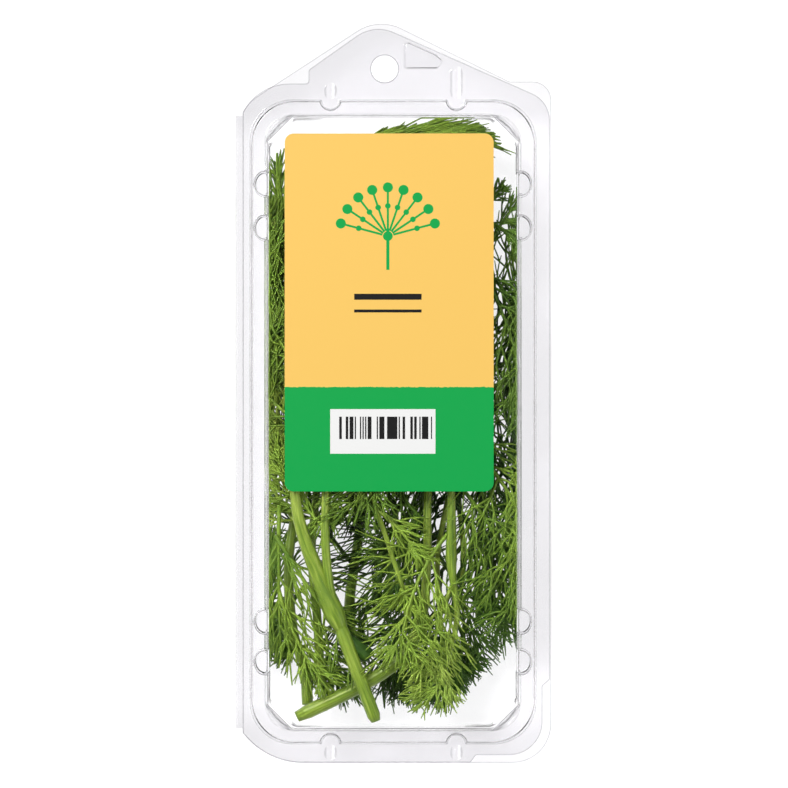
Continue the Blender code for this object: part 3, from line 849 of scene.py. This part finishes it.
# A sprig's leaves are (share of its route, angle to it, length). Its loose leaves, which come from under
# the others, are (start, heading from x, bend, length). Girths are (share of the route, radius). Fullness
# is the pairs of ribs on a leaf and of threads on a rib, and spread is how far they open: the loose habit
# is both. The tones are those at the route's start and end, and a higher tone is paler. Leaves stay
# between the two heights, and a sprig's own topY and reach take the place of the foliage's.
sprigs = {
    "sprig_front_left": {
        "layer": "front", "seed": 12,
        "route": (
            (-4.7, -87.8, 21.6), (-8.3, -78.2, 21.6), (-13.6, -64.1, 21.4), (-17, -52, 21.6),
            (-18.3, -38, 21.8), (-18.4, -22, 21.4), (-21.5, 4, 20.6), (-18, 32, 20),
            (-23, 58, 20),
        ),
        "girths": ((0, 1.2), (0.009, 1.75), (0.15, 1.8), (0.162, 2.1), (0.19, 1.25), (1, 0.6)),
        "branch": ((-13.6, -64.1, 21.2), (-19.8, -49.5, 20.8), (-25.4, -33.5, 21.4), (-27.6, -14, 21.4)),
        "branchGirths": ((0, 1.5), (0.1, 2.8), (0.3, 2.2), (0.5, 1.75), (1, 1)),
        "stub": ((-13.2, -63.8, 20.2), (-10.4, -67.2, 19.8), (-6.4, -70.9, 19.4)),
        "stubGirths": ((0, 0.8), (0.5, 1.8), (0.95, 2.2), (1, 1.6)),
        "leaves": ((0.36, 46, 26), (0.42, -44, 40), (0.52, 44, 48), (0.62, 44, 52), (0.84, -44, 44)),
        "tones": (0.55, 0.7), "heights": (15, 20.2), "topY": 54,
        "loose": (
            ((-31.6, -38, 21), -60, 10, 46), ((-31, -52, 19), -78, 24, 32),
            ((-30.6, -30, 20), -92, 6, 40), ((-31, -62, 16), -56, 20, 26),
        ),
        "looseHabit": ((5, 1), 0.8),
    },
    "sprig_front_middle": {
        "layer": "front", "seed": 22,
        "route": (
            (-7, 46, 20.4), (-4.6, 24, 20.4), (-6.6, 0, 20.2), (-5.8, -25, 20.4),
            (-1.5, -40, 20.4), (2.4, -52, 20.4),
        ),
        "girths": ((0, 1), (1, 0.6)),
        "leaves": (
            (0.04, -44, 50), (0.2, 44, 48), (0.36, 44, 34), (0.62, -44, 28), (0.78, 40, 20), (0.97, -6, 13),
        ),
        "fullness": (6, 1), "tones": (0.45, 0.7), "heights": (15, 21), "topY": 70, "reach": 106,
        "loose": (((-30, 42, 17), 98, -10, 30), ((-32, 48, 17), 84, 8, 17)),
        "looseHabit": ((3, 1), 0.6), "looseTone": 0.5,
    },
    "sprig_front_right": {
        "layer": "front", "seed": 33,
        "route": (
            (19, 44, 20.2), (16.5, 20, 20.4), (15, -4, 20.2), (15.5, -26, 20.2),
            (15.6, -46.5, 20.2), (17, -60, 20), (14, -74, 20),
        ),
        "girths": ((0, 1.35), (0.6, 1), (0.74, 1.5), (0.8, 0.9), (1, 0.5)),
        "leaves": (
            (0.03, 44, 50), (0.16, -44, 50), (0.30, -44, 52), (0.43, 44, 50), (0.56, 44, 44), (0.68, -44, 40),
            (0.80, -34, 30), (0.97, 6, 24),
        ),
        "tones": (0.12, 0.92), "heights": (17, 23.4), "topY": 66,
        "loose": (
            ((23, 36, 18), 62, -10, 24), ((23.5, 50, 18), 42, 10, 14),
            ((24, 47, 18), -20, -24, 15),
        ),
        "looseHabit": ((3, 1), 0.8), "looseTone": 0.3,
    },
    "sprig_crossing": {
        "layer": "front", "seed": 43,
        "route": (
            (-26, -87, 16.6), (-8, -78.2, 16.8), (2.8, -70.4, 17.4), (7.6, -60, 17.4),
            (9, -46, 17), (9.2, -28, 16), (10.5, -2, 14.6), (7, 26, 14.8),
            (1, 50, 14.8), (3.6, 64, 14.8), (15, 69.6, 15), (25, 68.6, 15),
        ),
        "girths": ((0, 1.4), (0.008, 1.9), (0.12, 1.8), (0.2, 1.5), (0.3, 1.15), (1, 0.6)),
        "leaves": (
            (0.22, -44, 40), (0.29, 44, 40), (0.36, 44, 46), (0.52, -44, 52), (0.60, 44, 50), (0.68, 44, 36),
        ),
        "tones": (0.3, 0.5), "heights": (12, 17), "topY": 74.2, "reach": 106,
        "loose": (
            ((-12, 66, 16), 17, -20, 40), ((-5, 67.6, 16.8), 13, -22, 40),
            ((4, 69.2, 15.4), 8, -30, 34), ((14, 71, 15.4), 2, -40, 26),
            ((-10, 67.4, 15.4), 20, -12, 16),
        ),
        "looseHabit": ((6, 1), 0.3), "looseTone": 0.6,
    },
    "sprig_middle_left": {
        "layer": "back", "seed": 51,
        "route": (
            (-19.6, -78.4, 16.8), (-20.4, -62, 16.8), (-22, -42, 16.6), (-20, -16, 15.6),
            (-21.5, 14, 14.6), (-19, 40, 14.8), (-20, 58, 14.8),
        ),
        "girths": ((0, 1.25), (1, 0.6)),
        "leaves": ((0.28, 44, 36), (0.40, 44, 48), (0.52, -44, 50), (0.64, -44, 50), (0.80, 44, 38)),
        "tones": (0.55, 1.35), "heights": (12, 16), "topY": 54,
        "loose": (((-25, 30, 16), 104, 16, 34), ((-27.5, 10, 17), 96, 8, 36)),
        "looseHabit": ((6, 1), 0.6),
    },
    "sprig_rear_left": {
        "layer": "back", "seed": 61,
        "route": (
            (-23.2, -84, 12), (-24, -73.9, 12), (-27.2, -64, 12), (-28.2, -44, 11.4),
            (-24, -16, 9.4), (-23, 14, 9.4), (-17, 42, 9.4), (-14, 60, 9.4),
        ),
        "girths": ((0, 1.5), (1, 0.6)),
        "leaves": ((0.14, 44, 34), (0.30, -44, 44), (0.46, 44, 50), (0.62, 44, 52), (0.78, -44, 50)),
        "spread": 0.7, "tones": (0.4, 1.2), "heights": (6, 11), "topY": 52,
        "loose": (
            ((-25, -60, 10), -146, 12, 26), ((-25, -68, 10), -160, 8, 22),
            ((-22, -62, 9), -62, -10, 30), ((-24, -52, 9), -128, 10, 26),
        ),
        "looseHabit": ((7, 2), 0.8), "looseTone": 0.35,
    },
    "sprig_rear_right": {
        "layer": "back", "seed": 71,
        "route": (
            (16, 58, 9.4), (20, 34, 9.4), (15, 8, 9.4), (16, -20, 9.4),
            (12, -44, 9.4), (13, -66, 9.4),
        ),
        "girths": ((0, 1.3), (1, 0.6)),
        "leaves": (
            (0.03, -44, 50), (0.16, 44, 46), (0.30, 44, 52), (0.43, -44, 50), (0.56, -44, 52), (0.69, 50, 48),
            (0.82, 44, 46), (0.97, -6, 30),
        ),
        "spread": 0.7, "tones": (0.05, 0.42), "heights": (6, 13), "topY": 50,
    },
    "sprig_back_left": {
        "layer": "back", "seed": 87,
        "route": (
            (-10, -80, 3.8), (-12, -58, 4), (-9, -32, 4), (-12, -4, 3.8),
            (-10, 26, 4), (-14, 52, 4),
        ),
        "girths": ((0, 1.6), (1, 0.6)),
        "leaves": (
            (0.12, -44, 44), (0.25, 50, 44), (0.38, 44, 52), (0.51, -50, 50), (0.64, -44, 52), (0.77, 44, 50),
            (0.90, 44, 44),
        ),
        "spread": 0.6, "tones": (0.4, 0.1), "heights": (1.2, 7), "topY": 54,
        "loose": (
            ((-3, -64, 5), -60, -14, 36), ((4, -66, 4), -74, -8, 32),
            ((-7, -58, 5), -30, -16, 40),
        ),
        "looseHabit": ((6, 2), 0.7), "looseTone": 0.35,
    },
    "sprig_back_right": {
        "layer": "back", "seed": 91,
        "route": (
            (24, 62, 4), (19, 40, 4), (21, 12, 3.8), (17, -16, 4),
            (19, -44, 4), (17, -64, 4),
        ),
        "girths": ((0, 1.3), (1, 0.6)),
        "leaves": (
            (0.03, 44, 50), (0.16, -44, 48), (0.30, -44, 52), (0.43, 44, 50), (0.56, 44, 52), (0.69, -50, 50),
            (0.82, -44, 46), (0.95, 10, 36),
        ),
        "spread": 0.7, "tones": (0, 0.38), "heights": (1.2, 7), "topY": 50,
    },
}


def smoothRoute(points, steps=6):  # a smooth line through the points
    points = [Vector(point) for point in points]
    ends = [points[0] * 2 - points[1], *points, points[-1] * 2 - points[-2]]
    route = []
    for before, start, end, after in zip(ends, ends[1:], ends[2:], ends[3:]):
        for step in range(steps):
            t = step / steps
            straight = 2 * start + (end - before) * t
            bent = (2 * before - 5 * start + 4 * end - after) * t * t
            turned = (3 * start - before - 3 * end + after) * t * t * t
            route.append((straight + bent + turned) / 2)
    return [*route, points[-1]]


def placeOn(route, share):  # the place at a share of a line's length, and the heading there
    lengths = [(after - before).length for before, after in zip(route, route[1:])]
    left = share * sum(lengths)
    for place, length in enumerate(lengths):
        if left <= length or place == len(lengths) - 1:
            heading = (route[place + 1] - route[place]).normalized()
            return route[place] + heading * min(left, length), heading
        left -= length


def turnedBy(heading, angle, lift=0.0):
    flat = Matrix.Rotation(math.radians(angle), 3, "Z") @ heading
    return (flat + Vector((0, 0, lift))).normalized()


def keptIn(point, heights):  # the nearest place inside the pocket's walls
    away = abs(point.z - partingZ) / partingZ
    inset = pack["sheet"] + foliage["clearance"] + away * pack["wallDraft"]
    return Vector((
        min(max(point.x, pack["pocketX"][0] + inset), pack["pocketX"][1] - inset),
        min(max(point.y, pack["pocketY"][0] + inset), pack["pocketY"][1] - inset),
        min(max(point.z, heights[0]), heights[1]),
    ))


class Grower:  # grows the strands of one sprig's leaves, each a list of points and radii
    def __init__(self, plan):
        self.chance = random.Random(plan["seed"])
        self.heights = plan["heights"]
        self.topY = plan.get("topY", foliage["topY"])
        self.reach = plan.get("reach", foliage["reachLeft"])
        self.strands = []

    def within(self, name):  # a random value between the two limits of this name
        return self.chance.uniform(*leafShape[name])

    def either(self, name):  # a random value up to the one of this name, to either side
        return self.chance.uniform(-leafShape[name], leafShape[name])

    def tilt(self):  # how much a strand rises or sinks as it leaves its root
        return self.chance.uniform(-1, 1) * leafShape["lift"]

    def beyond(self, point, slack):
        below = middleY - point.y
        reach = foliage["reachRight"] if point.x > 0 and below > 0 else self.reach
        outside = point.y > self.topY or point.y < foliage["bottomY"] + slack
        return outside or abs(point.x) + abs(below) > reach - slack

    def line(self, start, heading, bend, length, kind, lift=0.0):  # ends early where it would reach too far
        steps = leafShape[kind + "Steps"]
        slack = self.chance.uniform(*foliage["raggedVaried"]) * foliage["ragged"]
        points = [start]
        for _ in range(steps):
            heading = turnedBy(heading, bend / steps, lift / steps)
            point = keptIn(points[-1] + heading * (length / steps), self.heights)
            if self.beyond(point, slack):
                break
            points.append(point)
        return points

    def strand(self, points, kind):  # says whether the line was long enough to keep
        if len(points) < 3:
            return False
        thick, thin = leafShape[kind + "Girth"]
        last = len(points) - 1
        self.strands.append([
            (point, thick + (thin - thick) * place / last) for place, point in enumerate(points)
        ])
        return True

    def threads(self, stalk, reach, pairs, spread):
        begin, span = leafShape["threadAt"]
        most, taper = leafShape["threadTaper"]
        for pair in range(pairs):
            share = begin + span * pair / pairs
            for side in (-1, 1):
                root, along = placeOn(stalk, min(1.0, share + self.either("threadShift")))
                angle = side * leafShape["threadAngle"] * spread * self.within("varied")
                way = turnedBy(along, angle, self.tilt())
                length = reach * leafShape["threadShare"] * (most - taper * share) * self.within("varied")
                bend = -side * self.within("threadBend") * spread
                thread = self.line(root, way, bend, length, "thread", self.either("drift"))
                if not self.strand(thread, "thread"):
                    continue
                root, along = placeOn(thread, self.within("forkAt"))
                angle = -side * self.within("forkAngle") * spread
                way = turnedBy(along, angle, self.either("lift"))
                bend = side * self.within("forkBend")
                fork = self.line(root, way, bend, length * leafShape["forkShare"], "fork")
                self.strand(fork, "fork")

    def leaf(self, start, heading, bend, length, fullness, spread):
        pairs, threadPairs = fullness
        bend *= self.within("bendVaried")
        midrib = self.line(start, heading, bend, length, "midrib", self.either("lift"))
        if not self.strand(midrib, "midrib"):
            return
        bare = leafShape["bare"]
        for pair in range(pairs):
            share = bare + (leafShape["leafy"] - bare) * pair / pairs
            reach = length * leafShape["ribShare"] * (1 - leafShape["ribTaper"] * share)
            for side in (-1, 1):
                root, along = placeOn(midrib, share + self.either("ribShift"))
                angle = side * leafShape["ribAngle"] * spread * self.within("varied")
                way = turnedBy(along, angle, self.tilt())
                span = reach * self.within("varied")
                bend = -side * self.within("ribBend") * spread
                rib = self.line(root, way, bend, span, "rib", self.either("drift"))
                if self.strand(rib, "rib"):
                    self.threads(rib, span, threadPairs, spread)
        self.threads(midrib[len(midrib) // 2:], length * leafShape["tipShare"], threadPairs, spread)


def girthAt(stations, share):
    for (start, first), (end, last) in zip(stations, stations[1:]):
        if share <= end:
            return first + (last - first) * (share - start) / (end - start)
    return stations[-1][1]


def girthed(route, stations):  # a stem's points with its radius at each, by the length to there
    lengths = [(after - before).length for before, after in zip(route, route[1:])]
    return [
        (point, girthAt(stations, sum(lengths[:place]) / sum(lengths))) for place, point in enumerate(route)
    ]


stemShape = {
    "sides": 40,
    "ridges": 10,
    "ridgeRise": 0.025,
}


def stemSection():  # the ridged outline that a stem has all along
    curve = bpy.data.curves.new("stem_section", "CURVE")
    curve.dimensions = "2D"
    spline = curve.splines.new("POLY")
    spline.points.add(stemShape["sides"] - 1)
    spline.use_cyclic_u = True
    for place, point in enumerate(spline.points):
        turn = math.tau * place / stemShape["sides"]
        reach = 1 + stemShape["ridgeRise"] * math.cos(stemShape["ridges"] * turn)
        point.co = (reach * math.cos(turn), reach * math.sin(turn), 0, 1)
    return placed("stem_section", curve)


def strandMesh(name, strands, section=None):  # one tube for each strand
    curve = bpy.data.curves.new(name, "CURVE")
    curve.dimensions = "3D"
    curve.use_fill_caps = True
    if section:
        curve.bevel_mode = "OBJECT"
        curve.bevel_object = section
    else:
        curve.bevel_depth = 1.0
        curve.bevel_resolution = 0
    for strand in strands:
        spline = curve.splines.new("POLY")
        spline.points.add(len(strand) - 1)
        spline.points.foreach_set("co", [value for point, _ in strand for value in (*point, 1.0)])
        spline.points.foreach_set("radius", [radius for _, radius in strand])
    guide = placed(name, curve)
    mesh = meshOf(guide)
    bpy.data.objects.remove(guide)
    return mesh


def welded(bm):
    bmesh.ops.remove_doubles(bm, verts=bm.verts, dist=weld)
    bmesh.ops.recalc_face_normals(bm, faces=bm.faces)
    return bm


def leafFinish():
    finish = Finish("dill_leaf", (0.1, 0.2, 0.03), 0.5, **{"Specular IOR Level": 0.2})
    # the tone holds each leaf's own tone, and painted shade that darkens the lower leaves
    tone = finish.add("Attribute", {"attribute_name": "tone"}, output=2)
    patches = finish.noise(0.1)
    fine = finish.noise(0.8)
    value = tone * 0.75 + patches * 0.4 + fine * 0.3 - 0.25
    stops = (
        (0.0, (0.014, 0.038, 0.004)),
        (0.25, (0.034, 0.074, 0.008)),
        (0.5, (0.088, 0.160, 0.016)),
        (0.75, (0.21, 0.315, 0.034)),
        (1.0, (0.38, 0.48, 0.085)),
    )
    colour = finish.add("ValToRGB", {"stops": stops}, {0: value})
    cool = finish.mix(finish.noise(0.035, 1.0) * 1.6 - 0.5, colour, (0.05, 0.17, 0.02))
    finish.fill(finish.shader, {"Base Color": finish.mix(0.35, colour, cool)})
    return finish


def stemFinish():  # streaks run along the stem, by the map of its length and its girth
    finish = Finish("dill_stem", (0.25, 0.40, 0.08), 0.36, **{"Specular IOR Level": 0.4})
    along, around, _ = finish.split(finish.add("UVMap", {"uv_map": "UVMap"}))
    turn = around * math.tau
    place = finish.add("CombineXYZ", {}, {
        0: finish.math("COSINE", turn) * 2.6, 1: finish.math("SINE", turn) * 2.6, 2: along * 7.0,
    })
    streaks = finish.noise(1.1, 3.0, place)
    patches = finish.noise(0.06)
    stops = (
        (0.34, (0.075, 0.145, 0.010)),
        (0.5, (0.155, 0.240, 0.019)),
        (0.66, (0.28, 0.36, 0.055)),
    )
    colour = finish.add("ValToRGB", {"stops": stops}, {0: streaks * 0.6 + patches * 0.4})
    finish.fill(finish.shader, {"Base Color": colour})
    finish.bump(finish.noise(1.2, 3.0, place), 0.2, 0.1)
    return finish


def frondsOf(plan, route):  # each leaf's tone, and where and how it grows
    low, high = plan["tones"]
    habit = (plan.get("fullness", (7, 2)), plan.get("spread", 1.0))
    fronds = []
    for share, angle, length in plan["leaves"]:
        start, along = placeOn(route, share)
        bend = -math.copysign(leafShape["bend"], angle)
        fronds.append((low + (high - low) * share, (start, turnedBy(along, angle), bend, length, *habit)))
    for start, heading, bend, length in plan.get("loose", ()):
        way = turnedBy(Vector((1, 0, 0)), heading)
        frond = (Vector(start), way, bend, length, *plan["looseHabit"])
        fronds.append((plan.get("looseTone", low), frond))
    return fronds


def leavesOf(name, plan, route):  # one mesh of all the leaves, with each leaf's tone and the painted shade by its height on its points
    grower = Grower(plan)
    bm = bmesh.new()
    tones = bm.verts.layers.float.new("tone")
    for tone, frond in frondsOf(plan, route):
        grower.strands = []
        grower.leaf(*frond)
        if not grower.strands:
            continue
        tone += grower.either("toneVaried")
        first = len(bm.verts)
        bm.from_mesh(strandMesh(name, grower.strands))
        bm.verts.ensure_lookup_table()
        for vert in bm.verts[first:]:
            # painted shade: the lower a point, the darker
            vert[tones] = tone + (vert.co.z - partingZ) * leafShape["depthShade"]
    return bm


def makeDill():
    stem = stemFinish()
    leaf = leafFinish()
    section = stemSection()
    for name, plan in sprigs.items():
        route = smoothRoute(plan["route"])
        stems = [girthed(route, plan["girths"])]
        if "branch" in plan:
            stems.append(girthed(smoothRoute(plan["branch"]), plan["branchGirths"]))
        bm = bmesh.new()
        bm.from_mesh(strandMesh(name, stems, section))
        pieceFrom(f"{name}_stem", welded(bm), stem, "tray", [name])
        bm = leavesOf(name, plan, route)
        if "stub" in plan:  # a torn side stem, which has the leaves' darker finish
            stub = girthed(smoothRoute(plan["stub"]), plan["stubGirths"])
            bm.from_mesh(strandMesh(name, [stub], section))
        pieceFrom(f"{name}_leaves", welded(bm), leaf, "tray", [name])
    bpy.data.objects.remove(section)


makeDill()
print("dill ready")
